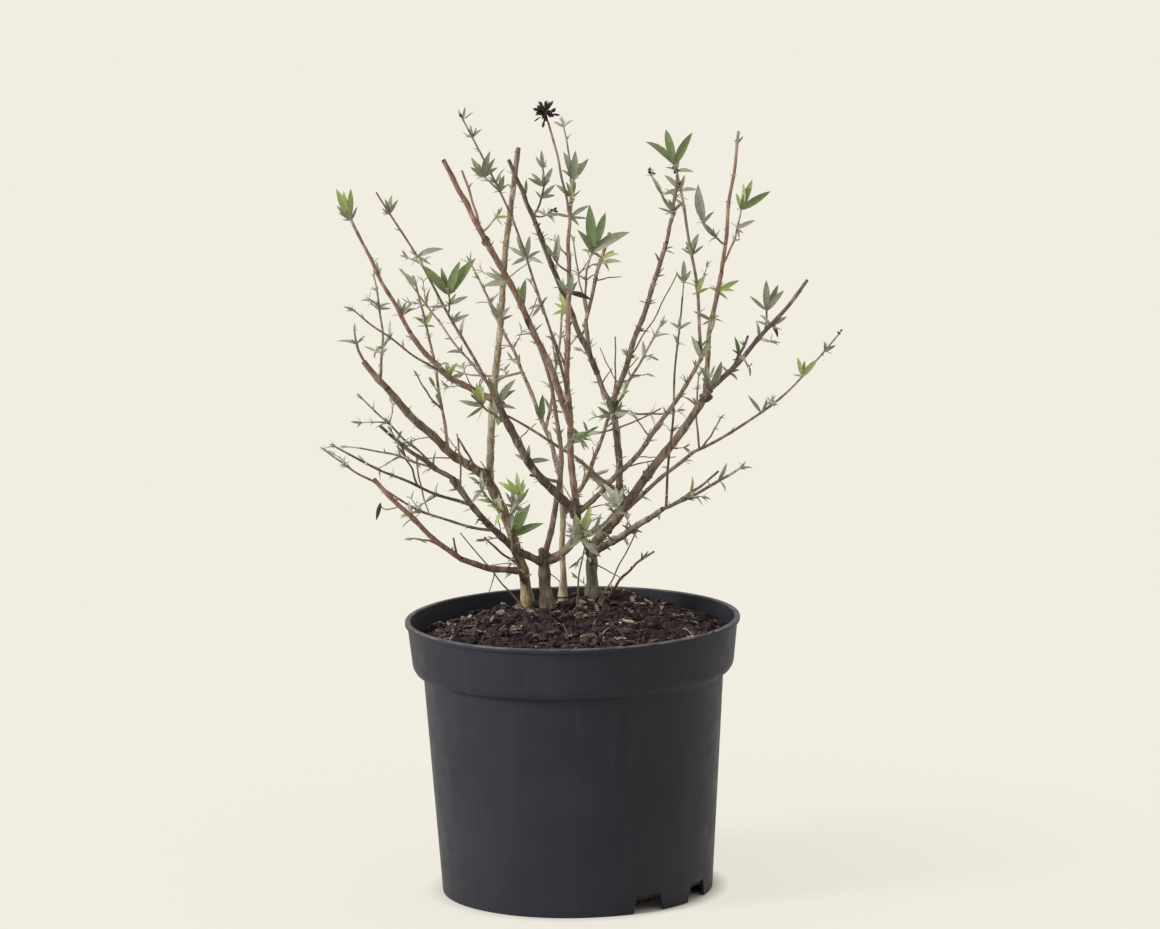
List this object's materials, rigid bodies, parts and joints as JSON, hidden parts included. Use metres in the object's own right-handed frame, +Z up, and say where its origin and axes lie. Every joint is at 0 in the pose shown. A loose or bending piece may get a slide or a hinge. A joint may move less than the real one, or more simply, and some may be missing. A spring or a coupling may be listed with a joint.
{
  "type": "butterfly bush in a nursery pot",
  "caption": "Pruned flowering shrub in early spring: bare arching shoots with small grey-green leaves, rising from a plain dark round nursery pot filled with soil.",
  "frame": {"origin": "middle of the pot's flat underside", "axes": "+Z up; the pictured side faces -Y, and +X is to its right"},
  "size_m": [0.4381, 0.3781, 0.674],
  "materials": {
    "pot": "matte moulded plastic",
    "soil": "loose peat and bark",
    "bark": "rough bark",
    "foliage": "felted leaves on thin twigs"
  },
  "bodies": {
    "root": {"bough_arching": "bark", "bough_back_left": "bark", "bough_back_right": "bark", "bough_back_upper": "bark", "bough_centre": "bark", "bough_crossing": "bark", "bough_dark": "bark", "bough_fan": "bark", "bough_fork": "bark", "bough_front_left": "bark", "bough_front_right": "bark", "bough_inner_right": "bark", "bough_leader": "bark", "bough_long_left": "bark", "bough_low_left": "bark", "bough_low_right": "bark", "bough_middle": "bark", "bough_right": "bark", "bough_right_tall": "bark", "bough_tall": "bark", "bough_thick_left": "bark", "bough_upper_left": "bark", "pot": "pot", "soil": "soil", "spray_arching": "foliage", "spray_back_left": "foliage", "spray_back_low": "foliage", "spray_back_middle": "foliage", "spray_back_right": "foliage", "spray_back_upper": "foliage", "spray_cluster": "foliage", "spray_crossing": "foliage", "spray_dark": "foliage", "spray_fan_high": "foliage", "spray_fan_low": "foliage", "spray_fan_middle": "foliage", "spray_fork_front": "foliage", "spray_front_left": "foliage", "spray_front_middle": "foliage", "spray_front_right": "foliage", "spray_inner_right": "foliage", "spray_leader": "foliage", "spray_left_inner": "foliage", "spray_left_upper": "foliage", "spray_long_left": "foliage", "spray_long_low": "foliage", "spray_low_left": "foliage", "spray_low_right": "foliage", "spray_middle": "foliage", "spray_right_end": "foliage", "spray_right_tall": "foliage", "spray_thick_left": "foliage", "spray_tufted": "foliage", "spray_upper_left": "foliage", "stem_back": "bark", "stem_left": "bark", "stem_low_right": "bark", "stem_middle": "bark", "stem_right": "bark"}
  },
  "joints": []
}
